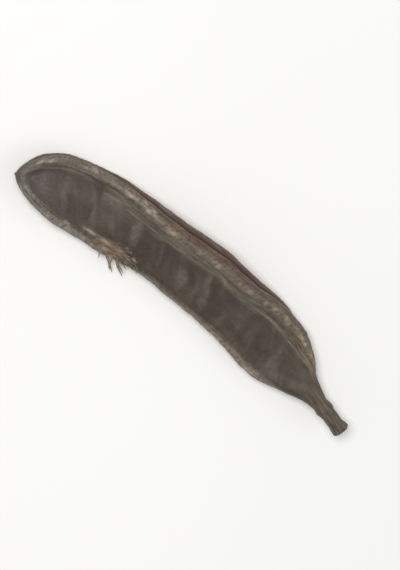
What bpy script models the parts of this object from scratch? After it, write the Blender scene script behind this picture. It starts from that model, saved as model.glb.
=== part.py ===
"""A dried carob pod lying on its broad side.

It is one grown piece: a bowed, flattened pod with a thick seam along each edge, low humps over its seeds,
a short beak at one end and the stub of its stalk at the other. Sizes are in millimetres, and the mesh is
made in metres, with +X from the beak to the stalk, +Y towards the grooved seam and +Z up.
"""

import math

import bmesh
import bpy
import numpy as np

METRES = 0.001

# Driving dimensions
LENGTH = 124.0  # along the bowed midline, from the beak's tip to the stalk's cut end
WIDTH = 21.4  # across the broad face, seam to seam
GROOVED_SEAM_THICKNESS = 7.6
PLAIN_SEAM_THICKNESS = 6.4
FACE_THICKNESS = 5.5  # between the seams, without the humps

# The midline's bow in the plane of the face, and the neck's turn back towards the grooved seam
BOW_TURN = math.radians(39)
NECK_TURN = math.radians(7)
NECK_TURN_SPAN = (89.0, 124.0)

# How far the pod rises off the surface at its beak, its middle and its stalk
BEAK_LIFT = 1.2
BEAK_LIFT_SPAN = (0.0, 20.0)
MIDDLE_LIFT = 0.5
MIDDLE_RISE = (32.0, 48.0)
MIDDLE_FALL = (72.0, 90.0)
STALK_LIFT = 4.5
STALK_LIFT_SPAN = (92.0, 124.0)

# The twist, as (distance from the beak, degrees): below 0 raises the plain seam and above 0 the grooved one
TWIST = ((0.0, -9.0), (12.0, -9.0), (50.0, 26.0), (66.0, 26.0), (94.0, 0.0), (124.0, 0.0))

# The beak end
BEAK_LENGTH = 1.5
BEAK_RADIUS = 0.65
BEAK_START = 0.45  # from the tip to where the pod begins to widen
BEAK_ENDS = (19.0, 33.0)  # over which the pod reaches its full width, on its grooved and its plain side
BEAK_END_POWERS = ((2.1, 0.57), (2.3, 0.63))
BEAK_FULLNESS = 10.0  # over which it reaches its full thickness
BEAK_FULLNESS_POWERS = (2.0, 0.55)
BEAK_DETAIL = 6.0  # over which the seams begin to show

# The stalk end
STALK_LENGTH = 8.0
STALK_RADIUS = 2.1
STALK_FLARE = 0.45  # at its cut end
STALK_FLARE_LENGTH = 3.0
COLLAR_HEIGHT = 0.5  # the ring where the pod meets its stalk
COLLAR_HALF_LENGTH = 1.3
NECK_LENGTH = 23.0  # over which the pod narrows to its stalk
NECK_DETAIL = (0.04, 0.54)  # how much of the pod is left where the seams go out and where they are whole
NECK_ROUNDING = 1.6

# The seams: a bead on each side of a groove, with a valley between the bead and the face
BEAD_ROUNDING = 2.1
BEAD_POWER = 2.1
BEAD_FALL = 2.1
VALLEY_OFFSET = 5.0
VALLEY_WIDTH = 1.7
VALLEY_DEPTH = 0.18
GROOVE_DEPTHS = (1.15, 0.5)  # at the grooved seam and at the plain one
GROOVE_HALF_WIDTHS = (1.0, 0.7)
GROOVE_SHARE = 0.5  # of the half width, beyond which points belong to a seam

# Slow waves as (height, length over a full turn, shift): of the width, of the beads and of the seams' edges
MARGIN_WAVES = ((0.025, 56.0, 0.6), (0.016, 27.0, 0.0))
BEAD_WAVES = ((0.07, 19.5, 1.0), (0.06, 10.7, 2.0))
EDGE_WAVES = ((0.14, 18.2, 1.3), (0.09, 8.2, 1.0))
EDGE_WAVE_DEPTH = 3.0

# The humps over the seeds
SEED_COUNT = 11
FIRST_SEED = 15.0
SEED_PITCH = 8.1
SEED_HALF_LENGTH = 2.7
SEED_HALF_WIDTH = 4.6
SEED_POWER = 2.6
SEED_HEIGHT = 0.65
SEED_SLANT = 0.45  # how far along a hump leans for each step across
SEED_SHIFT = 0.9
SEED_SIZES = (0.35, 1.35)
SEED_DRAW = 11

REST_FLAT = 0.3  # the height that is pressed flat at the lowest spots

# The mesh
SEGMENTS = 52
RINGS = 92
OUTLINE_POINTS = 1200
SEAM_DENSITY = 2.2  # how much closer the points lie at the seams than on the face
SEAM_DENSITY_SPAN = (0.55, 0.95)
END_DENSITY = 0.45

POD_COLOUR = (0.105, 0.082, 0.066, 1.0)
POD_ROUGHNESS = 0.62


def clear_scene():
    for obj in list(bpy.data.objects):
        bpy.data.objects.remove(obj, do_unlink=True)


def share_of(x, span):
    """How far x has come through a span, from 0 to 1, along an S-curve."""
    t = np.clip((x - span[0]) / (span[1] - span[0]), 0.0, 1.0)
    return t * t * (3.0 - 2.0 * t)


def waves(x, terms, shift=1.0):
    return sum(height * np.sin(2 * np.pi * x / length + shift * start) for height, length, start in terms)


def midline(x):
    """The midline's point (x, y) and heading at distances x from the beak, in the plane of the face."""
    along = np.linspace(0.0, LENGTH, 2001)
    heading = BOW_TURN * (0.5 - along / LENGTH) + NECK_TURN * share_of(along, NECK_TURN_SPAN)
    step = np.diff(along)
    middle = (heading[1:] + heading[:-1]) / 2
    px = np.concatenate([[0.0], np.cumsum(np.cos(middle) * step)])
    py = np.concatenate([[0.0], np.cumsum(np.sin(middle) * step)])
    return np.interp(x, along, px), np.interp(x, along, py), np.interp(x, along, heading)


def neck(x):
    """1 on the pod, falling to 0 where it has become the stalk."""
    return 1.0 - share_of(x, (LENGTH - STALK_LENGTH - NECK_LENGTH, LENGTH - STALK_LENGTH))


def stalk_radius(x):
    collar = COLLAR_HEIGHT * np.exp(-(((x - LENGTH + STALK_LENGTH) / COLLAR_HALF_LENGTH) ** 2))
    return STALK_RADIUS + collar + STALK_FLARE * share_of(x, (LENGTH - STALK_FLARE_LENGTH, LENGTH))


def rise(t, powers):
    """0 to 1 over t from 0 to 1: steep at first, then level."""
    return (1.0 - (1.0 - np.clip(t, 0.0, 1.0)) ** powers[0]) ** powers[1]


def reach(x, side):
    """How far a seam lies from the midline: side 0 is the grooved seam and side 1 the plain one."""
    body = WIDTH / 2 * rise((x - BEAK_START) / BEAK_ENDS[side], BEAK_END_POWERS[side])
    body = body * (1.0 + waves(x, MARGIN_WAVES))
    beak = BEAK_RADIUS * rise(x / BEAK_LENGTH, (2.0, 0.5))
    pod = (body**3 + beak**3) ** (1.0 / 3.0)
    return pod * neck(x) + stalk_radius(x) * (1.0 - neck(x))


def half_width(x):
    """Half the distance between the seams."""
    return (reach(x, 0) + reach(x, 1)) / 2


def detail(x):
    """How far the seams and their valleys show: 0 at the two tips and on the stalk."""
    return share_of(x, (0.0, BEAK_DETAIL)) * share_of(neck(x), NECK_DETAIL)


def seeds():
    """The places along and across the pod of the seeds, and how high each hump stands."""
    draw = np.random.default_rng(SEED_DRAW)
    shifts = draw.uniform(-SEED_SHIFT, SEED_SHIFT, (2, SEED_COUNT))
    along = FIRST_SEED + SEED_PITCH * np.arange(SEED_COUNT) + shifts[0]
    return along, shifts[1], SEED_HEIGHT * draw.uniform(*SEED_SIZES, SEED_COUNT)


def humps(x, v):
    total = np.zeros(np.broadcast(x, v).shape)
    for along, across, height in zip(*seeds()):
        lengthwise = ((x - along + SEED_SLANT * v) / SEED_HALF_LENGTH) ** 2
        crosswise = (np.abs(v - across) / SEED_HALF_WIDTH) ** SEED_POWER
        total += height * np.exp(-lengthwise - crosswise)
    return total


def corner(d, rounding):
    """The rounded rise of the edge, from 0 at the seam to 1 at the given distance from it."""
    t = 1.0 - np.clip(d / rounding, 0.0, 1.0)
    return (1.0 - t**BEAD_POWER) ** (1.0 / BEAD_POWER)


def section(x, points):
    """Half the outline at x: (across, height) from the grooved seam over the face to the plain seam."""
    half, share, shown = half_width(x), neck(x), detail(x)
    full = rise(x / BEAK_FULLNESS, BEAK_FULLNESS_POWERS) * share
    v = half * np.cos(np.linspace(0.0, np.pi, points))
    rounding = BEAD_ROUNDING + (half - BEAD_ROUNDING) * (1.0 - share_of(share, (0.0, 1.0 / NECK_ROUNDING)))
    rounding = min(rounding, half)
    height = np.full(points, FACE_THICKNESS / 2 * full + stalk_radius(x) * (1.0 - share))
    for d, thickness in ((half - v, GROOVED_SEAM_THICKNESS), (half + v, PLAIN_SEAM_THICKNESS)):
        bead = (thickness - FACE_THICKNESS) / 2 * (1.0 + waves(x, BEAD_WAVES, thickness))
        height += bead * shown * full * np.exp(-((np.clip(d - rounding, 0.0, None) / BEAD_FALL) ** 2))
        height -= VALLEY_DEPTH * shown * np.exp(-(((d - VALLEY_OFFSET) / VALLEY_WIDTH) ** 2))
    height += humps(x, v) * shown
    height *= corner(half - v, rounding) * corner(half + v, rounding)
    for side, depth, width in zip((1.0, -1.0), GROOVE_DEPTHS, GROOVE_HALF_WIDTHS):
        inward = depth * np.exp(-((height / width) ** 2))
        inward += waves(x, EDGE_WAVES, side) * np.exp(-((height / EDGE_WAVE_DEPTH) ** 2))
        v = np.where(side * v > GROOVE_SHARE * half, v - side * shown * inward, v)
    return v, height


def spread(v, height, count):
    """The outline at count + 1 places, closer together near the seams."""
    step = np.hypot(np.diff(v), np.diff(height))
    outward = np.abs(v[1:] + v[:-1]) / (v.max() - v.min())
    density = 1.0 + SEAM_DENSITY * share_of(outward, SEAM_DENSITY_SPAN)
    total = np.concatenate([[0.0], np.cumsum(step * density)])
    at = np.linspace(0.0, total[-1], count + 1)
    return np.interp(at, total, v), np.interp(at, total, height)


def stations(count):
    """Distances from the beak of the rings between the two tips, closer together at the ends."""
    t = np.linspace(0.0, 1.0, count + 1)[1:]
    eased = 0.5 - 0.5 * np.cos(np.pi * t)
    return LENGTH * (t * (1.0 - END_DENSITY) + eased * END_DENSITY)


def roll(x):
    """The section's roll: level on both seams, and turned onto one of them where the pod twists."""
    level = math.asin((GROOVED_SEAM_THICKNESS - PLAIN_SEAM_THICKNESS) / 4 / (WIDTH / 2 - BEAD_ROUNDING))
    for (start, before), (end, after) in zip(TWIST, TWIST[1:]):
        level += math.radians(after - before) * share_of(x, (start, end))
    return level + math.radians(TWIST[0][1])


def height_of_middle(x):
    """The midline's height, at which the lower seam just meets the surface where the pod isn't lifted."""
    angle = roll(x)
    arm = WIDTH / 2 * (1.0 + waves(x, MARGIN_WAVES)) - BEAD_ROUNDING
    lowest = 0.0
    for side, thickness in ((1.0, GROOVED_SEAM_THICKNESS), (-1.0, PLAIN_SEAM_THICKNESS)):
        bead = math.hypot(BEAD_ROUNDING * math.sin(angle), thickness / 2 * math.cos(angle))
        lowest = min(lowest, side * arm * math.sin(angle) - bead)
    lifted = BEAK_LIFT * (1.0 - share_of(x, BEAK_LIFT_SPAN)) + STALK_LIFT * share_of(x, STALK_LIFT_SPAN)
    return lifted + MIDDLE_LIFT * share_of(x, MIDDLE_RISE) * (1.0 - share_of(x, MIDDLE_FALL)) - lowest


def place(x, v, w):
    """Takes points (across v, height w) of the section at x to the pod's place in space."""
    px, py, heading = midline(x)
    angle = roll(x)
    v = v + (reach(x, 0) - reach(x, 1)) / 2
    across = v * math.cos(angle) - w * math.sin(angle)
    up = v * math.sin(angle) + w * math.cos(angle) + height_of_middle(x)
    return np.stack([px - across * np.sin(heading), py + across * np.cos(heading), up], axis=-1)


def pod_grid(rings, segments):
    """The pod's points, ring by ring from the beak, each ring from the grooved seam over the top."""
    grid = np.empty((rings + 1, segments, 3))
    grid[0] = place(0.0, np.zeros(1), np.zeros(1))
    for i, x in enumerate(stations(rings - 1)):
        v, height = spread(*section(x, OUTLINE_POINTS), segments // 2)
        grid[i + 1] = place(x, np.append(v, v[-2:0:-1]), np.append(height, -height[-2:0:-1]))
    grid[rings] = place(LENGTH, np.zeros(1), np.zeros(1))  # the middle of the stalk's cut
    return grid


def rest(grid):
    """Centres the pod over the origin and sets its lowest spots flat on the surface."""
    flat = grid.reshape(-1, 3)
    low, high = flat.min(0), flat.max(0)
    grid = grid - np.array([(low[0] + high[0]) / 2, (low[1] + high[1]) / 2, low[2] + REST_FLAT])
    grid[..., 2] = np.maximum(grid[..., 2], 0.0)
    return grid


def make_mesh(grid):
    """A globe whose rings and segments take the pod's points, with its lower pole at the beak."""
    rings, segments = grid.shape[0] - 1, grid.shape[1]
    mesh = bpy.data.meshes.new("carob_pod")
    bm = bmesh.new()
    bmesh.ops.create_uvsphere(bm, u_segments=segments, v_segments=rings, radius=1.0)
    for vert in bm.verts:
        polar = math.acos(max(-1.0, min(1.0, vert.co.z)))
        ring = rings - round(polar / math.pi * rings)
        segment = round(math.atan2(vert.co.y, vert.co.x) / (2 * math.pi) * segments) % segments
        vert.co = grid[ring, segment] * METRES
    bm.to_mesh(mesh)
    bm.free()
    return mesh


def skin_material():
    material = bpy.data.materials.new("pod_skin")
    material.use_nodes = True
    shader = material.node_tree.nodes["Principled BSDF"]
    shader.inputs["Base Color"].default_value = POD_COLOUR
    shader.inputs["Roughness"].default_value = POD_ROUGHNESS
    shader.inputs["Metallic"].default_value = 0.0
    return material


def main():
    clear_scene()
    collection = bpy.data.collections.new("carob_pod")
    bpy.context.scene.collection.children.link(collection)
    pod = bpy.data.objects.new("carob_pod", make_mesh(rest(pod_grid(RINGS, SEGMENTS))))
    pod.data.materials.append(skin_material())
    pod.data.shade_smooth()
    collection.objects.link(pod)


main()
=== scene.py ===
"""The looks of a dried carob pod: its fine skin, its material, a pale floor, soft light and the camera.

The pod's form follows the same formulas as its solid, in millimetres along the pod (x), across its face (v)
and out of its face (w). The fine skin adds what is smaller: wrinkled seams, veins, creases and worn spots.
"""

import math

import bmesh
import bpy
import numpy as np
from mathutils import Matrix, Vector


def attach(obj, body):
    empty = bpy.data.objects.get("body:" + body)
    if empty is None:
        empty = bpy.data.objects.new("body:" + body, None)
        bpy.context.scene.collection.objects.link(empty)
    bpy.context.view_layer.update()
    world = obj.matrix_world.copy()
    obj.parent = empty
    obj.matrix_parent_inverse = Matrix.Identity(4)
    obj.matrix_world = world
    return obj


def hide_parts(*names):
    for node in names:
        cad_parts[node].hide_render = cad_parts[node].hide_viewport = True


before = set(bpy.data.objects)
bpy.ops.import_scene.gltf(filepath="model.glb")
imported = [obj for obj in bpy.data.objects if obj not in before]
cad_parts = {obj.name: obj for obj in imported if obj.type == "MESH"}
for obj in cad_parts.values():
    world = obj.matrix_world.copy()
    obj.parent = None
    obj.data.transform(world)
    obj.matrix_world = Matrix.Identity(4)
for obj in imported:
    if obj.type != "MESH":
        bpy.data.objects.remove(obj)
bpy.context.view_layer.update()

METRES = 0.001

# The pod's form, as in its solid

# Driving dimensions
LENGTH = 124.0  # along the bowed midline, from the beak's tip to the stalk's cut end
WIDTH = 21.4  # across the broad face, seam to seam
GROOVED_SEAM_THICKNESS = 7.6
PLAIN_SEAM_THICKNESS = 6.4
FACE_THICKNESS = 5.5  # between the seams, without the humps

# The midline's bow in the plane of the face, and the neck's turn back towards the grooved seam
BOW_TURN = math.radians(39)
NECK_TURN = math.radians(7)
NECK_TURN_SPAN = (89.0, 124.0)

# How far the pod rises off the surface at its beak, its middle and its stalk
BEAK_LIFT = 1.2
BEAK_LIFT_SPAN = (0.0, 20.0)
MIDDLE_LIFT = 0.5
MIDDLE_RISE = (32.0, 48.0)
MIDDLE_FALL = (72.0, 90.0)
STALK_LIFT = 4.5
STALK_LIFT_SPAN = (92.0, 124.0)

# The twist, as (distance from the beak, degrees): below 0 raises the plain seam and above 0 the grooved one
TWIST = ((0.0, -9.0), (12.0, -9.0), (50.0, 26.0), (66.0, 26.0), (94.0, 0.0), (124.0, 0.0))

# The beak end
BEAK_LENGTH = 1.5
BEAK_RADIUS = 0.65
BEAK_START = 0.45  # from the tip to where the pod begins to widen
BEAK_ENDS = (19.0, 33.0)  # over which the pod reaches its full width, on its grooved and its plain side
BEAK_END_POWERS = ((2.1, 0.57), (2.3, 0.63))
BEAK_FULLNESS = 10.0  # over which it reaches its full thickness
BEAK_FULLNESS_POWERS = (2.0, 0.55)
BEAK_DETAIL = 6.0  # over which the seams begin to show

# The stalk end
STALK_LENGTH = 8.0
STALK_RADIUS = 2.1
STALK_FLARE = 0.45  # at its cut end
STALK_FLARE_LENGTH = 3.0
COLLAR_HEIGHT = 0.5  # the ring where the pod meets its stalk
COLLAR_HALF_LENGTH = 1.3
NECK_LENGTH = 23.0  # over which the pod narrows to its stalk
NECK_DETAIL = (0.04, 0.54)  # how much of the pod is left where the seams go out and where they are whole
NECK_ROUNDING = 1.6

# The seams: a bead on each side of a groove, with a valley between the bead and the face
BEAD_ROUNDING = 2.1
BEAD_POWER = 2.1
BEAD_FALL = 2.1
VALLEY_OFFSET = 5.0
VALLEY_WIDTH = 1.7
VALLEY_DEPTH = 0.18
GROOVE_DEPTHS = (1.15, 0.5)  # at the grooved seam and at the plain one
GROOVE_HALF_WIDTHS = (1.0, 0.7)
GROOVE_SHARE = 0.5  # of the half width, beyond which points belong to a seam

# Slow waves as (height, length over a full turn, shift): of the width, of the beads and of the seams' edges
MARGIN_WAVES = ((0.025, 56.0, 0.6), (0.016, 27.0, 0.0))
BEAD_WAVES = ((0.07, 19.5, 1.0), (0.06, 10.7, 2.0))
EDGE_WAVES = ((0.14, 18.2, 1.3), (0.09, 8.2, 1.0))
EDGE_WAVE_DEPTH = 3.0

# The humps over the seeds
SEED_COUNT = 11
FIRST_SEED = 15.0
SEED_PITCH = 8.1
SEED_HALF_LENGTH = 2.7
SEED_HALF_WIDTH = 4.6
SEED_POWER = 2.6
SEED_HEIGHT = 0.65
SEED_SLANT = 0.45  # how far along a hump leans for each step across
SEED_SHIFT = 0.9
SEED_SIZES = (0.35, 1.35)
SEED_DRAW = 11

REST_FLAT = 0.3  # the height that is pressed flat at the lowest spots

# The mesh
SEGMENTS = 52
RINGS = 92
OUTLINE_POINTS = 1200
SEAM_DENSITY = 2.2  # how much closer the points lie at the seams than on the face
SEAM_DENSITY_SPAN = (0.55, 0.95)
END_DENSITY = 0.45


def share_of(x, span):
    """How far x has come through a span, from 0 to 1, along an S-curve."""
    t = np.clip((x - span[0]) / (span[1] - span[0]), 0.0, 1.0)
    return t * t * (3.0 - 2.0 * t)


def waves(x, terms, shift=1.0):
    return sum(height * np.sin(2 * np.pi * x / length + shift * start) for height, length, start in terms)


def midline(x):
    """The midline's point (x, y) and heading at distances x from the beak, in the plane of the face."""
    along = np.linspace(0.0, LENGTH, 2001)
    heading = BOW_TURN * (0.5 - along / LENGTH) + NECK_TURN * share_of(along, NECK_TURN_SPAN)
    step = np.diff(along)
    middle = (heading[1:] + heading[:-1]) / 2
    px = np.concatenate([[0.0], np.cumsum(np.cos(middle) * step)])
    py = np.concatenate([[0.0], np.cumsum(np.sin(middle) * step)])
    return np.interp(x, along, px), np.interp(x, along, py), np.interp(x, along, heading)


def neck(x):
    """1 on the pod, falling to 0 where it has become the stalk."""
    return 1.0 - share_of(x, (LENGTH - STALK_LENGTH - NECK_LENGTH, LENGTH - STALK_LENGTH))


def stalk_radius(x):
    collar = COLLAR_HEIGHT * np.exp(-(((x - LENGTH + STALK_LENGTH) / COLLAR_HALF_LENGTH) ** 2))
    return STALK_RADIUS + collar + STALK_FLARE * share_of(x, (LENGTH - STALK_FLARE_LENGTH, LENGTH))


def rise(t, powers):
    """0 to 1 over t from 0 to 1: steep at first, then level."""
    return (1.0 - (1.0 - np.clip(t, 0.0, 1.0)) ** powers[0]) ** powers[1]


def reach(x, side):
    """How far a seam lies from the midline: side 0 is the grooved seam and side 1 the plain one."""
    body = WIDTH / 2 * rise((x - BEAK_START) / BEAK_ENDS[side], BEAK_END_POWERS[side])
    body = body * (1.0 + waves(x, MARGIN_WAVES))
    beak = BEAK_RADIUS * rise(x / BEAK_LENGTH, (2.0, 0.5))
    pod = (body**3 + beak**3) ** (1.0 / 3.0)
    return pod * neck(x) + stalk_radius(x) * (1.0 - neck(x))


def half_width(x):
    """Half the distance between the seams."""
    return (reach(x, 0) + reach(x, 1)) / 2


def detail(x):
    """How far the seams and their valleys show: 0 at the two tips and on the stalk."""
    return share_of(x, (0.0, BEAK_DETAIL)) * share_of(neck(x), NECK_DETAIL)


def seeds():
    """The places along and across the pod of the seeds, and how high each hump stands."""
    draw = np.random.default_rng(SEED_DRAW)
    shifts = draw.uniform(-SEED_SHIFT, SEED_SHIFT, (2, SEED_COUNT))
    along = FIRST_SEED + SEED_PITCH * np.arange(SEED_COUNT) + shifts[0]
    return along, shifts[1], SEED_HEIGHT * draw.uniform(*SEED_SIZES, SEED_COUNT)


def humps(x, v):
    total = np.zeros(np.broadcast(x, v).shape)
    for along, across, height in zip(*seeds()):
        lengthwise = ((x - along + SEED_SLANT * v) / SEED_HALF_LENGTH) ** 2
        crosswise = (np.abs(v - across) / SEED_HALF_WIDTH) ** SEED_POWER
        total += height * np.exp(-lengthwise - crosswise)
    return total


def corner(d, rounding):
    """The rounded rise of the edge, from 0 at the seam to 1 at the given distance from it."""
    t = 1.0 - np.clip(d / rounding, 0.0, 1.0)
    return (1.0 - t**BEAD_POWER) ** (1.0 / BEAD_POWER)


def section(x, points):
    """Half the outline at x: (across, height) from the grooved seam over the face to the plain seam."""
    half, share, shown = half_width(x), neck(x), detail(x)
    full = rise(x / BEAK_FULLNESS, BEAK_FULLNESS_POWERS) * share
    v = half * np.cos(np.linspace(0.0, np.pi, points))
    rounding = BEAD_ROUNDING + (half - BEAD_ROUNDING) * (1.0 - share_of(share, (0.0, 1.0 / NECK_ROUNDING)))
    rounding = min(rounding, half)
    height = np.full(points, FACE_THICKNESS / 2 * full + stalk_radius(x) * (1.0 - share))
    for d, thickness in ((half - v, GROOVED_SEAM_THICKNESS), (half + v, PLAIN_SEAM_THICKNESS)):
        bead = (thickness - FACE_THICKNESS) / 2 * (1.0 + waves(x, BEAD_WAVES, thickness))
        height += bead * shown * full * np.exp(-((np.clip(d - rounding, 0.0, None) / BEAD_FALL) ** 2))
        height -= VALLEY_DEPTH * shown * np.exp(-(((d - VALLEY_OFFSET) / VALLEY_WIDTH) ** 2))
    height += humps(x, v) * shown
    height *= corner(half - v, rounding) * corner(half + v, rounding)
    for side, depth, width in zip((1.0, -1.0), GROOVE_DEPTHS, GROOVE_HALF_WIDTHS):
        inward = depth * np.exp(-((height / width) ** 2))
        inward += waves(x, EDGE_WAVES, side) * np.exp(-((height / EDGE_WAVE_DEPTH) ** 2))
        v = np.where(side * v > GROOVE_SHARE * half, v - side * shown * inward, v)
    return v, height


def spread(v, height, count):
    """The outline at count + 1 places, closer together near the seams."""
    step = np.hypot(np.diff(v), np.diff(height))
    outward = np.abs(v[1:] + v[:-1]) / (v.max() - v.min())
    density = 1.0 + SEAM_DENSITY * share_of(outward, SEAM_DENSITY_SPAN)
    total = np.concatenate([[0.0], np.cumsum(step * density)])
    at = np.linspace(0.0, total[-1], count + 1)
    return np.interp(at, total, v), np.interp(at, total, height)


def stations(count):
    """Distances from the beak of the rings between the two tips, closer together at the ends."""
    t = np.linspace(0.0, 1.0, count + 1)[1:]
    eased = 0.5 - 0.5 * np.cos(np.pi * t)
    return LENGTH * (t * (1.0 - END_DENSITY) + eased * END_DENSITY)


def roll(x):
    """The section's roll: level on both seams, and turned onto one of them where the pod twists."""
    level = math.asin((GROOVED_SEAM_THICKNESS - PLAIN_SEAM_THICKNESS) / 4 / (WIDTH / 2 - BEAD_ROUNDING))
    for (start, before), (end, after) in zip(TWIST, TWIST[1:]):
        level += math.radians(after - before) * share_of(x, (start, end))
    return level + math.radians(TWIST[0][1])


def height_of_middle(x):
    """The midline's height, at which the lower seam just meets the surface where the pod isn't lifted."""
    angle = roll(x)
    arm = WIDTH / 2 * (1.0 + waves(x, MARGIN_WAVES)) - BEAD_ROUNDING
    lowest = 0.0
    for side, thickness in ((1.0, GROOVED_SEAM_THICKNESS), (-1.0, PLAIN_SEAM_THICKNESS)):
        bead = math.hypot(BEAD_ROUNDING * math.sin(angle), thickness / 2 * math.cos(angle))
        lowest = min(lowest, side * arm * math.sin(angle) - bead)
    lifted = BEAK_LIFT * (1.0 - share_of(x, BEAK_LIFT_SPAN)) + STALK_LIFT * share_of(x, STALK_LIFT_SPAN)
    return lifted + MIDDLE_LIFT * share_of(x, MIDDLE_RISE) * (1.0 - share_of(x, MIDDLE_FALL)) - lowest


def place(x, v, w):
    """Takes points (across v, height w) of the section at x to the pod's place in space."""
    px, py, heading = midline(x)
    angle = roll(x)
    v = v + (reach(x, 0) - reach(x, 1)) / 2
    across = v * math.cos(angle) - w * math.sin(angle)
    up = v * math.sin(angle) + w * math.cos(angle) + height_of_middle(x)
    return np.stack([px - across * np.sin(heading), py + across * np.cos(heading), up], axis=-1)


def pod_grid(rings, segments):
    """The pod's points, ring by ring from the beak, each ring from the grooved seam over the top."""
    grid = np.empty((rings + 1, segments, 3))
    grid[0] = place(0.0, np.zeros(1), np.zeros(1))
    for i, x in enumerate(stations(rings - 1)):
        v, height = spread(*section(x, OUTLINE_POINTS), segments // 2)
        grid[i + 1] = place(x, np.append(v, v[-2:0:-1]), np.append(height, -height[-2:0:-1]))
    grid[rings] = place(LENGTH, np.zeros(1), np.zeros(1))  # the middle of the stalk's cut
    return grid


# The fine skin's mesh
FINE_SEGMENTS = 204
FINE_RINGS = 480
CUT_RINGS = 8  # over the stalk's cut end
FINE_END_DENSITY = 0.15
FINE_SEAM_DENSITY = 1.5


def ring_of(upper, lower_sign):
    """A ring's values from those of its upper half, mirrored below with the given sign."""
    return np.append(upper, lower_sign * upper[-2:0:-1])


def solid_offset():
    """How far the solid was moved to stand centred over the origin, with its lowest spots pressed flat."""
    points = pod_grid(RINGS, SEGMENTS).reshape(-1, 3)
    low, high = points.min(0), points.max(0)
    return np.array([(low[0] + high[0]) / 2, (low[1] + high[1]) / 2, low[2] + REST_FLAT])


def fine_outline(x):
    """Half the outline at x, at the fine skin's points, with the length round it from the grooved seam."""
    v, height = section(x, OUTLINE_POINTS)
    step = np.hypot(np.diff(v), np.diff(height))
    outward = np.abs(v[1:] + v[:-1]) / (v.max() - v.min())
    density = 1.0 + FINE_SEAM_DENSITY * share_of(outward, SEAM_DENSITY_SPAN)
    total = np.concatenate([[0.0], np.cumsum(step * density)])
    along = np.concatenate([[0.0], np.cumsum(step)])
    at = np.linspace(0.0, total[-1], FINE_SEGMENTS // 2 + 1)
    return np.interp(at, total, v), np.interp(at, total, height), np.interp(at, total, along)


def fine_rows():
    """The fine skin before its small relief: its points ring by ring, and where each lies on the pod."""
    t = np.linspace(0.0, 1.0, FINE_RINGS - CUT_RINGS)[1:]
    eased = 0.5 - 0.5 * np.cos(np.pi * t)
    xs = LENGTH * (t * (1.0 - FINE_END_DENSITY) + eased * FINE_END_DENSITY)
    shrinks = np.concatenate([np.ones(len(xs)), 1.0 - np.arange(1, CUT_RINGS + 1) / (CUT_RINGS + 1)])
    xs = np.concatenate([xs, np.full(CUT_RINGS, LENGTH)])
    rows = {name: [] for name in ("points", "x", "v", "w", "grooved", "plain", "cut")}

    def add(x, v, w, grooved, plain, cut):
        rows["points"].append(place(x, v, w))
        values = (x, v, w, grooved, plain, cut)
        for name, value in zip(("x", "v", "w", "grooved", "plain", "cut"), values):
            rows[name].append(np.broadcast_to(np.asarray(value, float), (FINE_SEGMENTS,)))

    nothing = np.zeros(FINE_SEGMENTS)
    add(0.0, nothing, nothing, nothing, nothing, 0.0)
    for x, shrink in zip(xs, shrinks):
        v, height, along = fine_outline(x)
        across, out = ring_of(v, 1.0) * shrink, ring_of(height, -1.0) * shrink
        add(x, across, out, ring_of(along, 1.0), ring_of(along[-1] - along, 1.0), 1.0 - shrink)
    add(LENGTH, nothing, nothing, nothing, nothing, 1.0)
    return {name: np.array(value) for name, value in rows.items()}


# Seeded noise


def hashed(cells, seed):
    """A whole number from 0 to 2**32 - 1 for each whole-number cell."""
    mixed = np.full(cells.shape[:-1], (seed * 40503 + 977) % 2**32, np.uint32)
    for axis, factor in enumerate((0x9E3779B1, 0x85EBCA77, 0xC2B2AE3D)):
        mixed ^= cells[..., axis].astype(np.int64).astype(np.uint32) * np.uint32(factor)
        mixed ^= mixed >> np.uint32(15)
        mixed = mixed * np.uint32(0x2C1B3C6D)
        mixed ^= mixed >> np.uint32(12)
    return mixed


def noise(points, seed):
    """Smooth gradient noise, mostly from -1 to 1 and 0 on average, at points, one cell a unit."""
    cell = np.floor(points)
    t = points - cell
    eased = t * t * t * (t * (t * 6.0 - 15.0) + 10.0)
    total = 0.0
    for steps in np.ndindex(2, 2, 2):
        mixed = hashed(cell + np.array(steps), seed)
        value, weight = 0.0, 1.0
        for axis, step in enumerate(steps):
            slope = ((mixed >> np.uint32(10 * axis)) & np.uint32(1023)) / 511.5 - 1.0
            value = value + slope * (t[..., axis] - step)
            weight = weight * (eased[..., axis] if step else 1.0 - eased[..., axis])
        total = total + weight * value
    return np.clip(total * 1.9, -1.5, 1.5)


def layered(points, seed, layers=3):
    """Noise with finer layers at half the height each."""
    return sum(noise(points * 2.03**k + 17.3 * k, seed + k) * 0.5**k for k in range(layers))


def crooked_lines(points, seed, width):
    """Thin crooked lines, 1 on a line and 0 away from it."""
    return np.exp(-((layered(points, seed, 2) / width) ** 2))


def at(x, y, z, sizes):
    """The places (x, y, z) in cells of the given sizes."""
    return np.stack([x / sizes[0], y / sizes[1], z / sizes[2]], axis=-1)


def band(s, middle, half):
    return np.exp(-(((s - middle) / half) ** 2))


def chance(cells, seed):
    """A number from 0 to 1 for each whole number, for both faces and seams alike."""
    cells = np.stack([cells, 0.0 * cells, 0.0 * cells], axis=-1)
    return hashed(cells, seed) / 2.0**32


def dots(x, s, pitch, middle, sizes, seed):
    """A row of small uneven dots along x, one about every pitch, and about the distance middle from the seam."""
    total = 0.0
    for step in (-1.0, 0.0, 1.0):
        cell = np.floor(x / pitch) + step
        at_x = (cell + 0.15 + 0.7 * chance(cell, seed)) * pitch
        at_s = middle + 0.55 * (chance(cell, seed + 1) - 0.5)
        strength = share_of(chance(cell, seed + 2), (0.15, 0.8))
        length = sizes[0] * (0.6 + 0.9 * chance(cell, seed + 3))
        total = total + strength * np.exp(-(((x - at_x) / length) ** 2) - ((s - at_s) / sizes[1]) ** 2)
    return np.clip(total, 0.0, 1.0)


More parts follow.
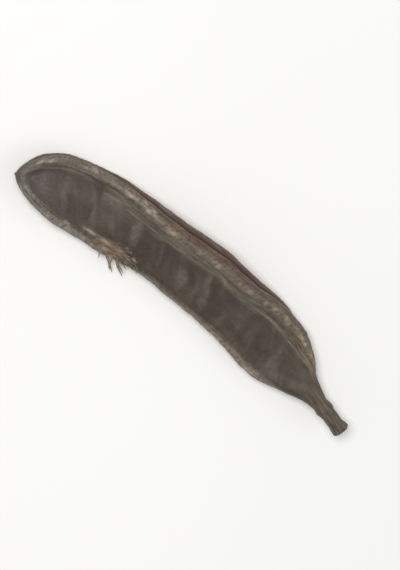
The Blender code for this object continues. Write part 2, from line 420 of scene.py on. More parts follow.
def specks(x, y, face, pitch, radius, share, seed):
    """Small round spots scattered over a face: one in some of the squares of the given pitch."""
    total = 0.0
    for i in (-1.0, 0.0, 1.0):
        for j in (-1.0, 0.0, 1.0):
            cx, cy = np.floor(x / pitch) + i, np.floor(y / pitch) + j
            cell = np.stack([cx, cy, face], axis=-1)
            first, second, third = (hashed(cell, seed + k) / 2.0**32 for k in range(3))
            size = radius * (0.5 + third)
            gap = np.hypot(x - (cx + first) * pitch, (y - (cy + second) * pitch) * 0.8) / size
            total = np.maximum(total, (third < share) * np.exp(-(gap**3)))
    return total


# The small relief, in millimetres along the normals, and the marks that the colours follow
CREST_GROOVED, CREST_PLAIN = 4.1, 2.9  # round the outline from a seam's middle to the middle of its pale line
CREST_HALF = 1.2
RIM_HALVES, RIM_WIDENS = (0.7, 1.35), (3.0, 20.0)  # the plain seam's line widens over this stretch
CREST_DRIFT, CREST_DRIFT_SPAN = 1.1, (30.0, 46.0)  # how far the grooved seam's line drifts on to the face
PLAIN_GROOVE_SPAN = (5.0, 20.0)  # over which the plain seam's groove turns dark
PALE_REACHES, PALE_SPAN, PALE_PLAIN = (7.2, 9.8), (4.0, 44.0), 5.0  # how far the paler skin reaches from the seams
FACE_SLANT = 0.5  # how far the smudges across the face lean towards the beak for each step to the grooved seam
FRAY_SPAN = (25.0, 31.0, 40.5, 46.0)
WARM_SPAN = (8.0, 46.0)  # over which the skin turns warmer, away from the beak
# Light spots on the upper face: x, how far from the seam, and half of how long and wide they are
GROOVED_SPOTS = (
    (5.0, 4.3, 0.8, 0.6), (7.6, 4.6, 0.9, 0.65), (17.0, 4.8, 0.6, 0.45), (19.5, 4.2, 1.1, 0.65), (30.5, 4.6, 1.3, 0.8),
    (35.0, 3.2, 0.7, 0.5), (36.6, 4.9, 0.9, 0.65), (37.8, 3.5, 0.8, 0.5),
)  # fmt: skip
PLAIN_SPOTS = (
    (19.4, 4.6, 1.0, 0.5), (27.2, 6.3, 2.2, 0.45), (32.4, 6.4, 1.3, 0.45), (33.5, 4.6, 1.1, 0.5),
    (38.9, 8.1, 0.8, 0.5), (40.0, 7.7, 0.9, 0.6), (42.6, 5.9, 1.2, 0.55),
)  # fmt: skip
SPOTTED = (38.0, 46.0)  # over which chance spots take over


def seam_marks(rows, m):
    """The marks that follow the two seams."""
    grooved, plain, shown = m["grooved"], m["plain"], m["shown"]
    edge = m["edge"]
    m["bead"] = share_of(edge, (0.8, 2.0)) * (1.0 - share_of(edge, (5.6, 7.4))) * shown
    ragged = 0.35 * noise(at(rows["x"], m["upper"], m["seam"], (2.6, 1.0, 1.0)), 41)
    crest = CREST_GROOVED + CREST_DRIFT * share_of(rows["x"], CREST_DRIFT_SPAN)
    ends = share_of(rows["x"], (0.3, 2.0)) * share_of(neck(rows["x"]), (0.05, 0.4))
    line = 1.0 - share_of(np.abs(grooved + ragged - crest), (CREST_HALF - 0.35, CREST_HALF + 0.45))
    m["crest"] = line * ends
    # the plain seam's pale line, lightened beyond its own colour as painted light where the rim would catch the light
    narrower = (RIM_HALVES[1] - RIM_HALVES[0]) * (1.0 - share_of(rows["x"], RIM_WIDENS))
    off_line = np.abs(plain + 0.6 * ragged - CREST_PLAIN + narrower) + narrower - RIM_HALVES[1]
    m["rim_and_painted_light"] = (1.0 - share_of(off_line, (-0.3, 0.3))) * ends
    pale_reach = PALE_REACHES[0] + (PALE_REACHES[1] - PALE_REACHES[0]) * share_of(rows["x"], PALE_SPAN)
    pale_edge = 0.8 * noise(at(rows["x"], m["upper"], m["seam"], (5.0, 1.0, 1.0)), 45)
    pale = 1.0 - np.minimum(
        share_of(grooved - pale_reach + pale_edge, (-1.0, 0.5)), share_of(plain - PALE_PLAIN + ragged, (-0.5, 0.5))
    )
    m["pale"] = pale * share_of(rows["x"], (1.0, 4.0)) * share_of(neck(rows["x"]), (0.1, 0.6))
    m["strand"] = layered(at(rows["x"], m["edge"] + m["upper"], m["seam"], (9.0, 0.62, 1.0)), 47, 2)
    along = rows["x"] + m["seam"] + m["upper"]
    knots = np.maximum(
        dots(along, grooved, 2.6, crest, (0.75, 0.7), 2057) * np.maximum(0.45, share_of(along, SPOTTED)),
        dots(along, plain, 2.2, CREST_PLAIN + 0.3, (0.7, 0.6), 4556),
    )
    m["knot"] = knots * share_of(rows["x"], (1.0, 3.0)) * share_of(neck(rows["x"]), (0.1, 0.5))
    uneven = (1.0 + 0.5 * noise(at(rows["x"], m["edge"], m["upper"], (0.9, 0.7, 1.0)), 43)) * (m["upper"] == 0.0)
    for s, spots in ((grooved, GROOVED_SPOTS), (plain, PLAIN_SPOTS)):
        for spot_x, spot_s, length, width in spots:
            spot = np.exp(-(((rows["x"] - spot_x) / length) ** 2) - ((s - spot_s) / width) ** 2)
            m["knot"] = np.clip(np.maximum(m["knot"], spot * uneven), 0.0, 1.0)
    plain_groove = 0.8 * share_of(rows["x"], PLAIN_GROOVE_SPAN) * (1.0 - share_of(plain, (0.35, 0.9)))
    groove = np.maximum(1.0 - share_of(grooved, (0.55, 1.35)), plain_groove)
    m["groove"] = groove * shown
    m["flank"] = layered(at(rows["x"], m["edge"] + m["upper"], m["seam"], (5.5, 0.42, 1.0)), 19, 2) * m["shown"]
    inner = crest - 1.5
    shoulder = np.maximum(1.0 - share_of(grooved - inner, (-0.4, 0.5)), 0.4 * (1.0 - share_of(plain, (1.0, 1.8))))
    m["shoulder"] = shoulder * shown
    # painted shade along the valley inside each seam's pale line; the same band also dips the relief a little
    m["valley"] = np.maximum(band(grooved, crest + 1.6, 0.35), band(plain, CREST_PLAIN + 1.7, 0.4)) * shown


def seam_lines(rows, m):
    """Fine dark furrows that run beside the seams and fade in and out."""
    x, total = rows["x"], 0.0
    grooved = [(m["grooved"], s, w) for s, w in ((5.4, 0.55), (6.3, 0.8), (7.2, 1.0), (8.2, 0.9), (9.5, 0.6), (11.2, 0.4))]
    plain = [(m["plain"], s, w) for s, w in ((5.3, 1.0), (6.6, 0.6), (8.2, 0.4))]
    for i, (s, offset, weight) in enumerate(grooved + plain):
        spot = at(x, m["upper"], 0.0 * s, (11.0, 1.0, 1.0))
        wobble = 0.30 * noise(spot + 5.0 * i, 21 + i) + 0.08 * noise(spot * 5.0, 27 + i)
        fade = share_of(noise(spot * 1.3 + 9.0 * i, 31 + i), (-0.55, 0.25))
        total = total + weight * band(s, offset + wobble, 0.2) * fade
    return np.clip(total, 0.0, 1.0) * share_of(x, (3.0, 9.0)) * share_of(neck(x), (0.1, 0.5))


def face_marks(rows, m):
    """The marks that lie on the two faces."""
    x, v, upper = rows["x"], rows["v"], m["upper"]
    warp = 1.4 * noise(at(x, v, upper, (8.0, 7.0, 1.0)), 51)
    slanted = x + FACE_SLANT * v + warp
    smudge = noise(at(slanted, v + 0.5 * warp, upper, (3.3, 9.0, 1.0)), 53)
    smudge = smudge + 0.35 * noise(at(slanted, v, upper, (1.5, 4.5, 1.0)), 54)
    m["smudge"] = smudge
    high = humps(x, v) / (SEED_HEIGHT * SEED_SIZES[1])
    m["bloom_and_highlight"] = share_of(0.85 * smudge + 1.0 * high, (0.1, 1.25)) * m["face"]
    # a painted highlight: a fixed light patch on the upper face near the beak, added to the bloom
    painted_tip_highlight = 0.95 * np.exp(-(((x + 0.3 * v - 8.2) / 1.8) ** 2) - ((v + 0.7) / 3.1) ** 2) * (upper == 0.0)
    m["bloom_and_highlight"] = np.maximum(m["bloom_and_highlight"], painted_tip_highlight)
    m["dim"] = share_of(-0.8 * smudge - 1.2 * high + noise(at(x, v, upper, (5.0, 4.0, 1.0)), 57), (-0.2, 1.2)) * m["face"]
    patches = share_of(noise(at(x, v, upper, (10.0, 7.0, 1.0)), 55), (-0.4, 0.5))
    large = crooked_lines(at(x + 0.3 * v, v, upper, (3.6, 2.6, 1.0)), 56, 0.085)
    small = crooked_lines(at(x, v, upper, (1.7, 1.25, 1.0)), 58, 0.11)
    m["crease"] = np.clip(large * patches + 0.6 * small * (1.0 - 0.6 * patches), 0.0, 1.0)
    m["pit"] = specks(x, v, upper, 4.4, 0.3, 0.3, 62)
    m["rub"] = specks(x, 1.6 * v, upper + 3.0, 7.0, 1.0, 0.45, 66) * share_of(m["smudge"], (-0.5, 0.5))


def fray_marks(rows, m):
    """The frayed patch on the plain seam."""
    x, plain, upper = rows["x"], m["plain"], m["upper"]
    start, full, still, stop = FRAY_SPAN
    window = share_of(x, (start, full)) * (1.0 - share_of(x, (still, stop)))
    ragged = 1.1 * noise(at(x, upper, 0.0 * x, (3.0, 1.0, 1.0)), 71) + 0.6 * noise(at(x, plain, upper, (1.1, 0.7, 1.0)), 72)
    inner = share_of(x, (start, full + 4.0)) * 4.0 + 3.9
    m["frayed"] = window * (1.0 - share_of(plain - inner + ragged, (-0.5, 0.5))) * (upper == 0.0)
    m["fibre"] = layered(at(x + 0.5 * plain, plain, rows["w"], (4.2, 0.5, 0.5)), 73, 2) * m["frayed"]
    gaps = layered(at(x + 0.5 * plain, plain, rows["w"], (1.9, 0.55, 0.55)), 75, 2) + 0.8 * share_of(x, (still - 4.0, stop))
    m["torn"] = share_of(gaps, (0.55, 1.0)) * m["frayed"]
    m["stain"] = share_of(x, (full + 6.0, still)) * (1.0 - share_of(x, (stop - 1.0, stop + 3.0))) * (upper == 0.0)
    m["stain"] *= share_of(layered(at(x, plain, upper, (1.6, 1.3, 1.0)), 77, 2), (-0.8, 0.1))
    m["stain"] *= 1.0 - share_of(plain - inner - 1.2, (-0.5, 1.5))


def marks_of(rows):
    """Masks from 0 to 1, point by point."""
    x, w = rows["x"], rows["w"]
    thick = np.maximum(rise(x / BEAK_FULLNESS, BEAK_FULLNESS_POWERS) * neck(x), 0.3)
    m = {"shown": detail(x), "grooved": rows["grooved"] / thick, "plain": rows["plain"] / thick}
    m["upper"] = np.where(w >= 0.0, 0.0, 40.0)  # keeps the two faces' noise apart
    m["seam"] = np.where(m["grooved"] < m["plain"], 0.0, 270.0)  # and the two seams'
    m["edge"] = np.minimum(m["grooved"], m["plain"] + 0.5)
    m["face"] = share_of(m["edge"], (5.6, 8.2)) * share_of(x, (2.0, 7.0)) * share_of(neck(x), (0.05, 0.6))
    m["stalk"] = 1.0 - share_of(neck(x), (0.02, 0.35))
    m["cut"] = share_of(rows["cut"], (0.0, 0.15))
    m["warm"] = share_of(x, WARM_SPAN)
    m["tip"] = 1.0 - share_of(x + 0.8 * noise(at(x, rows["v"], w, (2.0, 2.0, 2.0)), 17), (1.0, 4.0))
    russet = 0.5 * noise(at(x, w, m["upper"], (3.0, 2.0, 1.0)), 18)
    along_seam = 4.6 + 1.2 * share_of(x, (1.5, 6.0))
    m["russet"] = band(m["grooved"] + russet, along_seam, 0.7) * share_of(x, (1.0, 2.5)) * (1.0 - share_of(x, (8.0, 13.0)))
    seam_marks(rows, m)
    face_marks(rows, m)
    fray_marks(rows, m)
    m["line"] = seam_lines(rows, m)
    return m


def relief(rows, m):
    """How far each point stands out from the smooth form."""
    x, v, w, upper = rows["x"], rows["v"], rows["w"], m["upper"]
    out = 0.10 * layered(at(x, v, w, (6.5, 5.0, 5.0)), 1, 2) * np.maximum(m["face"], 0.4)
    out += 0.075 * m["smudge"] * m["face"]
    out -= 0.06 * m["crease"] * np.maximum(m["face"], 0.25)
    out += 0.018 * layered(at(x, v, w, (0.75, 0.6, 0.6)), 8, 2)
    out -= 0.08 * m["pit"] * m["face"]
    wrinkle = crooked_lines(at(x + 0.3 * m["edge"], m["edge"] + upper, m["seam"], (1.5, 3.6, 1.0)), 10, 0.2)
    m["wrinkle"] = wrinkle * m["bead"]
    out += (0.07 * noise(at(x, m["edge"] + upper, m["seam"], (1.5, 2.5, 1.0)), 9) - 0.11 * wrinkle) * m["bead"]
    out += 0.13 * m["knot"] - 0.05 * m["valley"] + 0.05 * m["strand"] * m["pale"]
    out -= 0.06 * m["line"]
    fibres = layered(at(x, m["grooved"] + m["plain"], w, (6.0, 0.5, 0.35)), 12, 2)
    out += 0.07 * fibres * m["groove"] + 0.06 * m["flank"] * m["shoulder"]
    out += 0.15 * m["frayed"] + 0.16 * m["fibre"] - 0.28 * m["torn"]
    turned = np.arctan2(w, v)
    grain = layered(at(np.cos(turned) * 3.0, np.sin(turned) * 3.0, x / 5.0, (1.0, 1.0, 1.0)), 14, 3)
    m["grain"] = 0.5 + 0.5 * grain
    out += 0.13 * grain * m["stalk"] * (1.0 - rows["cut"])
    return out * share_of(x, (0.0, 2.5)) * (1.0 - rows["cut"])


def normals_of(grid):
    """The outward direction at each point of the grid of rings."""
    round_it = np.roll(grid, -1, axis=1) - np.roll(grid, 1, axis=1)
    normal = np.cross(np.gradient(grid, axis=0), round_it)
    normal = normal / np.maximum(np.linalg.norm(normal, axis=-1, keepdims=True), 1e-9)
    middle = len(grid) // 2
    if np.sum(normal[middle] * (grid[middle] - grid[middle].mean(0))) < 0.0:
        normal = -normal
    _, _, first = midline(0.0)
    _, _, last = midline(LENGTH)
    normal[0] = (-math.cos(first), -math.sin(first), 0.0)
    normal[-CUT_RINGS - 1:] = (math.cos(last), math.sin(last), 0.0)
    return normal


def hollows(out, reach_points=4):
    """How far each point lies below those around it."""
    around = 0.0
    for step in (1, 2, reach_points):
        around = around + np.roll(out, step, axis=1) + np.roll(out, -step, axis=1)
        padded = np.pad(out, ((step, step), (0, 0)), mode="edge")
        around = around + padded[2 * step:] + padded[:-2 * step]
    return around / 12.0 - out


def skin_mesh(grid, rows, marks):
    """A globe whose rings and segments take the skin's points, with its lower pole at the beak."""
    rings, segments = grid.shape[0] - 1, grid.shape[1]
    mesh = bpy.data.meshes.new("pod_skin")
    bm = bmesh.new()
    bmesh.ops.create_uvsphere(bm, u_segments=segments, v_segments=rings, radius=1.0)
    bm.to_mesh(mesh)
    bm.free()
    globe = np.empty(len(mesh.vertices) * 3)
    mesh.vertices.foreach_get("co", globe)
    globe = globe.reshape(-1, 3)
    polar = np.arccos(np.clip(globe[:, 2], -1.0, 1.0))
    ring = rings - np.round(polar / np.pi * rings).astype(int)
    segment = np.round(np.arctan2(globe[:, 1], globe[:, 0]) / (2 * np.pi) * segments).astype(int) % segments
    mesh.vertices.foreach_set("co", (grid[ring, segment] * METRES).ravel())
    for name, values in marks.items():
        layer = mesh.attributes.new(name, "FLOAT", "POINT")
        layer.data.foreach_set("value", values[ring, segment].astype(np.float32))
    spot = np.stack([rows["x"], rows["v"], rows["w"]], axis=-1)[ring, segment]
    layer = mesh.attributes.new("pod_place", "FLOAT_VECTOR", "POINT")
    layer.data.foreach_set("vector", spot.astype(np.float32).ravel())
    mesh.update()
    mesh.shade_smooth()
    return mesh


# The torn fibres that stand off the frayed patch

FIBRE_COUNT = 46
FIBRE_STATIONS = 9
FIBRE_LENGTHS = (1.2, 4.6)
FIBRE_RADII = (0.07, 0.17)
FIBRE_LIFTS = (0.1, 0.75)
FIBRE_PLACES = (1.9, 6.6)  # round the outline from the plain seam
FIBRE_DRAW = 23
# Strands that hang off the seam: x, how long, how far they lean along the pod, how far they sink, and how thick
STRANDS = (
    (35.6, 5.4, 0.72, 1.1, 0.36), (36.0, 4.2, 0.56, 0.7, 0.26), (38.8, 4.9, 0.84, 0.8, 0.34), (39.1, 3.9, 0.94, 0.5, 0.24),
    (37.3, 2.6, 0.35, 0.5, 0.20), (40.6, 2.6, 0.95, 0.4, 0.20), (33.4, 1.9, 0.20, 0.4, 0.16),
)  # fmt: skip
STRAND_ROOT = 2.0  # round the outline from the plain seam


def on_skin(grid, rows, x, plain):
    """The skin's points at distances x, and at lengths plain from the plain seam over the upper face."""
    ring = np.interp(x, rows["x"][:-CUT_RINGS, 0], np.arange(len(grid) - CUT_RINGS))
    half = FINE_SEGMENTS // 2
    segment = half - np.array([np.interp(p, rows["plain"][int(r), half::-1], np.arange(half + 1.0)) for p, r in zip(plain, ring)])
    i, j = ring.astype(int), segment.astype(int)
    a, b = (ring - i)[:, None], (segment - j)[:, None]
    return (1 - a) * ((1 - b) * grid[i, j] + b * grid[i, j + 1]) + a * ((1 - b) * grid[i + 1, j] + b * grid[i + 1, j + 1])


def add_spline(curve, points, radii):
    spline = curve.splines.new("POLY")
    spline.points.add(len(points) - 1)
    for point, spot, radius in zip(spline.points, points, radii):
        point.co = (*(spot * METRES), 1.0)
        point.radius = radius


def add_strands(curve, grid, rows):
    """The longer strands, each from the skin outwards, bending over along the pod and down."""
    t = np.linspace(0.0, 1.0, FIBRE_STATIONS)[:, None]
    for x, length, lean, sink, radius in STRANDS:
        root, further, inner = (
            on_skin(grid, rows, np.array([x + dx]), np.array([STRAND_ROOT + ds]))[0] for dx, ds in ((0, 0), (1, 0), (0, 4))
        )
        along = (further - root) / np.linalg.norm(further - root)
        out = np.array([-along[1], along[0], 0.0])
        out *= math.copysign(1.0 / np.linalg.norm(out), out @ (root - inner))
        points = root - 0.6 * out + (length + 0.6) * (t * out * math.cos(lean) + t**1.3 * along * math.sin(lean))
        points[:, 2] -= (sink * t**2)[:, 0]
        points += 0.12 * np.sin(7.0 * t + x) * along
        add_spline(curve, points, radius * (1.0 - 0.75 * t[:, 0] ** 3))


def make_fibres(grid, normals, rows):
    draw = np.random.default_rng(FIBRE_DRAW)
    curve = bpy.data.curves.new("torn_fibres", "CURVE")
    curve.dimensions = "3D"
    curve.bevel_depth = METRES
    curve.bevel_resolution = 1
    curve.use_fill_caps = True
    t = np.linspace(0.0, 1.0, FIBRE_STATIONS)
    for _ in range(FIBRE_COUNT):
        root = draw.uniform(FRAY_SPAN[1] - 2.0, FRAY_SPAN[2] + 2.5)
        place_round = draw.uniform(*FIBRE_PLACES)
        length, radius, lift = (draw.uniform(*span) for span in (FIBRE_LENGTHS, FIBRE_RADII, FIBRE_LIFTS))
        slant, bend = draw.uniform(-0.35, 0.35), draw.uniform(-0.5, 0.5)
        x = root + length * t
        plain = np.clip(place_round + length * (slant * t + bend * t * t * 0.5), 1.2, 7.5)
        points = on_skin(grid, rows, x, plain) + on_skin(normals, rows, x, plain) * (lift * t**1.6 - radius)[:, None]
        add_spline(curve, points, radius * (1.0 - 0.85 * t**1.5))
    add_strands(curve, grid, rows)
    curve.materials.append(fibre_material())
    fibres = link(bpy.data.objects.new("torn_fibres", curve))
    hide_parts("carob_pod")
    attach(fibres, "root")


# Materials


class Graph:
    """Adds nodes and links to a new material, starting from its Principled BSDF."""

    def __init__(self, name):
        self.material = bpy.data.materials.new(name)
        self.material.use_nodes = True
        self.nodes = self.material.node_tree.nodes
        self.links = self.material.node_tree.links
        self.shader = self.nodes["Principled BSDF"]

    def put(self, socket, value):
        if isinstance(value, bpy.types.NodeSocket):
            self.links.new(value, socket)
        elif isinstance(value, tuple) and socket.type == "RGBA":
            socket.default_value = (*value, 1.0)
        else:
            socket.default_value = value

    def mark(self, name, output="Fac"):
        node = self.nodes.new("ShaderNodeAttribute")
        node.attribute_type = "GEOMETRY"
        node.attribute_name = name
        return node.outputs[output]

    def math(self, operation, a, b=0.0):
        node = self.nodes.new("ShaderNodeMath")
        node.operation = operation
        self.put(node.inputs[0], a)
        self.put(node.inputs[1], b)
        return node.outputs[0]

    def times(self, first, *others):
        for other in others:
            first = self.math("MULTIPLY", first, other)
        return first

    def span(self, value, low, high, to_low=0.0, to_high=1.0):
        node = self.nodes.new("ShaderNodeMapRange")
        node.interpolation_type = "SMOOTHSTEP"
        names = ("Value", "From Min", "From Max", "To Min", "To Max")
        for name, given in zip(names, (value, low, high, to_low, to_high)):
            self.put(node.inputs[name], given)
        return node.outputs["Result"]

    def mix(self, factor, a, b, blend="MIX"):
        node = self.nodes.new("ShaderNodeMix")
        node.data_type = "RGBA"
        node.blend_type = blend
        for socket, given in zip((node.inputs[0], node.inputs[6], node.inputs[7]), (factor, a, b)):
            self.put(socket, given)
        return node.outputs[2]

    def noise(self, vector, sizes, octaves=2.0, roughness=0.5, warp=0.0):
        scaled = self.nodes.new("ShaderNodeVectorMath")
        scaled.operation = "MULTIPLY"
        self.put(scaled.inputs[0], vector)
        scaled.inputs[1].default_value = [1.0 / size for size in sizes]
        node = self.nodes.new("ShaderNodeTexNoise")
        self.links.new(scaled.outputs[0], node.inputs["Vector"])
        settings = {"Scale": 1.0, "Detail": octaves, "Roughness": roughness, "Distortion": warp}
        for name, given in settings.items():
            node.inputs[name].default_value = given
        return node.outputs["Fac"]


FACE_DARK = (0.041, 0.032, 0.0243)
FACE_LIGHT = (0.0635, 0.0505, 0.039)
FACE_DIM = (0.0385, 0.0293, 0.0225)
FACE_RED = (0.064, 0.042, 0.033)
# the bloom's pale grey, also used for the painted highlight near the beak
BLOOM_AND_HIGHLIGHT = (0.118, 0.101, 0.09)
CREST = (0.134, 0.112, 0.085)
KNOT = (0.285, 0.235, 0.178)
LINE = (0.066, 0.054, 0.043)
SHOULDER = (0.126, 0.078, 0.057)
SHOULDER_DARK = (0.069, 0.039, 0.028)
GROOVE = (0.036, 0.021, 0.014)
FRAYED = (0.165, 0.121, 0.079)
TORN = (0.060, 0.038, 0.027)
STALK = (0.105, 0.081, 0.059)
STALK_DARK = (0.050, 0.037, 0.028)
CUT = (0.205, 0.160, 0.112)
# the dark of the small pits, also used for the painted shade in the hollows
DARK_PIT_AND_SHADE = (0.026, 0.018, 0.014)
PALE = (0.113, 0.095, 0.073)
PALE_LIGHT = (0.176, 0.15, 0.117)
PALE_DARK = (0.058, 0.047, 0.037)
# the plain seam's pale line, made lighter than its own colour as painted light
RIM_AND_PAINTED_LIGHT = (0.185, 0.158, 0.129)
RUSSET = (0.088, 0.052, 0.038)
TIP = (0.086, 0.066, 0.052)
STAIN = (0.046, 0.030, 0.023)
WARM_TINT = (1.045, 0.985, 0.915)


def pod_colour(g, spot, cloud, mottle, grain, streak):
    """The skin's colour, from the face to the marks that lie over it."""
    colour = g.mix(g.span(cloud, 0.34, 0.66), FACE_DARK, FACE_LIGHT)
    colour = g.mix(g.span(mottle, 0.48, 0.72, 0.0, 0.6), colour, FACE_RED)
    colour = g.mix(g.times(g.mark("dim"), 0.6), colour, FACE_DIM)
    # the bloom, and the painted highlight near the beak that it carries
    colour = g.mix(g.times(g.mark("bloom_and_highlight"), g.span(mottle, 0.35, 0.65, 1.0, 0.55), 0.85), colour, BLOOM_AND_HIGHLIGHT)
    colour = g.mix(g.times(g.mark("rub"), g.span(grain, 0.35, 0.6), 0.5), colour, BLOOM_AND_HIGHLIGHT)
    strand = g.mix(g.span(g.mark("strand"), 0.0, 0.55), PALE, PALE_LIGHT)
    strand = g.mix(g.times(g.span(g.mark("strand"), -0.1, -0.55), 0.85), strand, PALE_DARK)
    colour = g.mix(g.times(g.mark("pale"), g.span(mottle, 0.3, 0.65, 1.0, 0.75)), colour, strand)
    colour = g.mix(g.times(g.span(streak, 0.5, 0.72), 0.3), colour, FACE_DARK)
    colour = g.mix(g.times(g.mark("line"), g.span(mottle, 0.3, 0.6, 0.25, 0.55)), colour, LINE)
    # painted shade in the valleys, in the darker shoulder colour
    colour = g.mix(g.times(g.mark("valley"), 0.2), colour, SHOULDER_DARK)
    flank = g.mix(g.span(g.mark("flank"), -0.45, 0.5), SHOULDER_DARK, SHOULDER)
    colour = g.mix(g.times(g.mark("shoulder"), 0.9), colour, flank)
    colour = g.mix(g.times(g.mark("crest"), g.span(mottle, 0.3, 0.65, 1.0, 0.55)), colour, CREST)
    # painted light on the plain seam's pale rim, over its own paler colour
    colour = g.mix(g.times(g.mark("rim_and_painted_light"), g.span(mottle, 0.3, 0.68, 1.0, 0.5)), colour, RIM_AND_PAINTED_LIGHT)
    colour = g.mix(g.times(g.mark("russet"), 0.7), colour, RUSSET)
    colour = g.mix(g.times(g.mark("knot"), g.span(grain, 0.3, 0.55, 0.6, 0.95)), colour, KNOT)
    colour = g.mix(g.mark("groove"), colour, GROOVE)
    colour = g.mix(g.times(g.mark("tip"), g.span(mottle, 0.35, 0.6, 0.35, 0.85)), colour, TIP)
    fibre = g.mix(g.span(g.mark("fibre"), -0.5, 0.8), g.mix(0.5, FRAYED, FACE_RED), FRAYED)
    colour = g.mix(g.times(g.mark("frayed"), g.span(grain, 0.25, 0.5, 0.6, 0.95)), colour, fibre)
    colour = g.mix(g.times(g.mark("frayed"), g.mark("knot"), 0.85), colour, KNOT)
    colour = g.mix(g.times(g.mark("torn"), 0.8), colour, TORN)
    colour = g.mix(g.times(g.mark("stain"), 0.95), colour, STAIN)
    colour = g.mix(g.times(g.mark("pit"), 0.6), colour, DARK_PIT_AND_SHADE)
    wood = g.mix(g.span(g.mark("grain"), 0.1, 0.9), STALK_DARK, STALK)
    colour = g.mix(g.mark("stalk"), colour, wood)
    colour = g.mix(g.mark("cut"), colour, g.mix(g.span(grain, 0.3, 0.7), STALK, CUT))
    # painted shade: darker where the skin lies below the points around it
    colour = g.mix(g.times(g.mark("hollow_shade"), 0.55), colour, DARK_PIT_AND_SHADE)
    colour = g.mix(g.mark("warm"), colour, WARM_TINT, "MULTIPLY")
    return g.mix(1.0, colour, g.span(grain, 0.3, 0.7, 0.9, 1.1), "MULTIPLY")


def pod_material():
    g = Graph("pod_skin")
    spot = g.mark("pod_place", "Vector")
    cloud = g.noise(spot, (9.0, 6.0, 6.0), 3.0, 0.55)
    mottle = g.noise(spot, (1.9, 1.4, 1.4), 3.0, 0.6, 0.4)
    grain = g.noise(spot, (0.42, 0.36, 0.36), 2.0, 0.6)
    streak = g.noise(spot, (6.5, 0.45, 1.2), 2.0, 0.5)
    g.put(g.shader.inputs["Base Color"], pod_colour(g, spot, cloud, mottle, grain, streak))
    rough = g.math("ADD", g.span(mottle, 0.3, 0.7, 0.46, 0.62), g.times(g.mark("groove"), 0.2))
    g.put(g.shader.inputs["Roughness"], g.math("ADD", rough, g.times(g.mark("bloom_and_highlight"), 0.15)))
    g.shader.inputs["Specular IOR Level"].default_value = 0.42
    g.shader.inputs["Sheen Weight"].default_value = 0.06
    g.shader.inputs["Sheen Roughness"].default_value = 0.6
    bump = g.nodes.new("ShaderNodeBump")
    bump.inputs["Strength"].default_value = 0.5
    bump.inputs["Distance"].default_value = 0.00012
    pores = g.times(g.noise(spot, (0.16, 0.14, 0.14), 2.0), 0.3)
    fine = g.math("ADD", g.math("ADD", g.times(grain, 0.6), pores), g.times(streak, 0.4))
    g.put(bump.inputs["Height"], fine)
    g.links.new(bump.outputs["Normal"], g.shader.inputs["Normal"])
    return g.material


def fibre_material():
    g = Graph("torn_fibres")
    spot = g.nodes.new("ShaderNodeTexCoord").outputs["Object"]
    tone = g.noise(spot, (0.0011, 0.0011, 0.0011), 2.0, 0.6)
    grain = g.noise(spot, (0.0003, 0.0003, 0.0003), 2.0, 0.6)
    colour = g.mix(g.span(tone, 0.36, 0.62), FRAYED, KNOT)
    colour = g.mix(g.times(g.span(tone, 0.56, 0.7), 0.7), colour, TORN)
    g.put(g.shader.inputs["Base Color"], g.mix(1.0, colour, g.span(grain, 0.3, 0.7, 0.85, 1.12), "MULTIPLY"))
    g.put(g.shader.inputs["Roughness"], g.span(grain, 0.3, 0.7, 0.6, 0.8))
    return g.material


def floor_material():
    g = Graph("pale_floor")
    spot = g.nodes.new("ShaderNodeTexCoord").outputs["Object"]
    cloud = g.span(g.noise(spot, (0.3, 0.3, 0.3), 2.0), 0.3, 0.7)
    g.put(g.shader.inputs["Base Color"], g.mix(cloud, (0.80, 0.80, 0.79), (0.83, 0.83, 0.82)))
    g.shader.inputs["Roughness"].default_value = 0.85
    return g.material


# The pieces

KEPT_MARKS = (
    "bloom_and_highlight", "dim", "rub", "pale", "line", "valley", "shoulder", "flank", "crest", "rim_and_painted_light", "knot", "groove",
    "strand", "russet", "warm",
    "frayed", "fibre", "torn", "stain", "pit", "tip", "stalk", "grain", "cut", "hollow_shade",
)  # fmt: skip


def link(obj):
    bpy.context.scene.collection.objects.link(obj)
    return obj


def make_skin():
    rows = fine_rows()
    marks = marks_of(rows)
    out = relief(rows, marks)
    grid = rows["points"] - solid_offset()
    rough_cut = layered(at(rows["v"], rows["w"], 0.0 * rows["v"], (0.8, 0.8, 1.0)), 15, 3) * 0.12 - 0.15
    normals = normals_of(grid)
    grid = grid + normals * (out + rough_cut * marks["cut"])[..., None]
    grid[..., 2] = np.maximum(grid[..., 2], 0.0)
    # painted shade: how far each point lies below its neighbours, kept to darken the colour there
    marks["hollow_shade"] = np.clip(hollows(out) * 14.0, 0.0, 1.0)
    mesh = skin_mesh(grid, rows, {name: marks[name] for name in KEPT_MARKS})
    mesh.materials.append(pod_material())
    skin = link(bpy.data.objects.new("pod_skin", mesh))
    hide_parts("carob_pod")
    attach(skin, "root")
    make_fibres(grid, normals, rows)


def make_floor():
    mesh = bpy.data.meshes.new("floor")
    bm = bmesh.new()
    bmesh.ops.create_grid(bm, x_segments=1, y_segments=1, size=4.0)
    bm.to_mesh(mesh)
    bm.free()
    mesh.materials.append(floor_material())
    link(bpy.data.objects.new("floor", mesh))


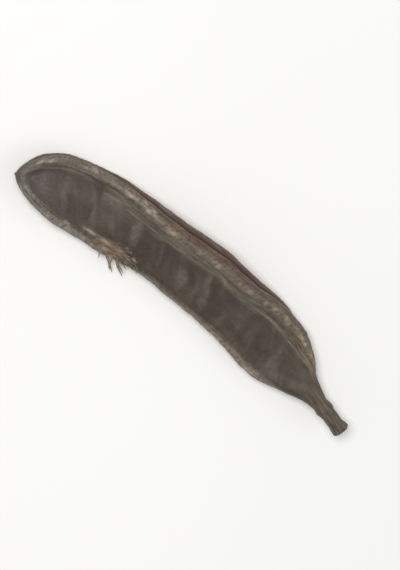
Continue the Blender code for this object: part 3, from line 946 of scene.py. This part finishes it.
# The photograph's view: its right and its up, in the plane of the pod, and how far the camera is off square
PICTURE_TURN = math.radians(42)
CAMERA_LEFT = math.radians(12)
CAMERA_UP = math.radians(17)
CAMERA_DISTANCE = 0.98
FOCAL_MM = 222.0
AIM = Vector((0.001, 0.0, 0.005))


def picture_axes():
    c, s = math.cos(PICTURE_TURN), math.sin(PICTURE_TURN)
    return Vector((c, s, 0.0)), Vector((-s, c, 0.0)), Vector((0.0, 0.0, 1.0))


def make_camera():
    right, up, out = picture_axes()
    level = math.cos(CAMERA_UP)
    towards = math.sin(CAMERA_UP) * up - math.sin(CAMERA_LEFT) * level * right + math.cos(CAMERA_LEFT) * level * out
    data = bpy.data.cameras.new("camera")
    data.lens = FOCAL_MM
    data.sensor_width = 36.0
    camera = link(bpy.data.objects.new("camera", data))
    across = up.cross(towards).normalized()
    turn = Matrix((across, towards.cross(across), towards)).transposed().to_4x4()
    camera.matrix_world = Matrix.Translation(AIM + towards * CAMERA_DISTANCE) @ turn
    bpy.context.scene.camera = camera


def make_light(name, direction, distance, size, watts, colour):
    data = bpy.data.lights.new(name, "AREA")
    data.shape = "DISK"
    data.size = size
    data.energy = watts
    data.color = colour
    lamp = link(bpy.data.objects.new(name, data))
    lamp.visible_camera = False
    towards = direction.normalized()
    lamp.location = towards * distance
    lamp.rotation_mode = "QUATERNION"
    lamp.rotation_quaternion = towards.to_track_quat("Z", "Y")


def make_studio():
    right, up, out = picture_axes()
    make_light("key", -0.3 * right + 0.4 * up + 1.0 * out, 1.6, 0.7, 22.5, (1.0, 0.985, 0.955))
    make_light("fill", 0.9 * right - 0.3 * up + 0.9 * out, 1.2, 0.9, 2.2, (0.95, 0.975, 1.0))
    world = bpy.data.worlds.new("studio")
    world.use_nodes = True
    background = world.node_tree.nodes["Background"]
    background.inputs["Color"].default_value = (0.97, 0.98, 1.0, 1.0)
    background.inputs["Strength"].default_value = 0.34
    bpy.context.scene.world = world
    bpy.context.scene.view_settings.view_transform = "Standard"


make_skin()
make_floor()
make_camera()
make_studio()
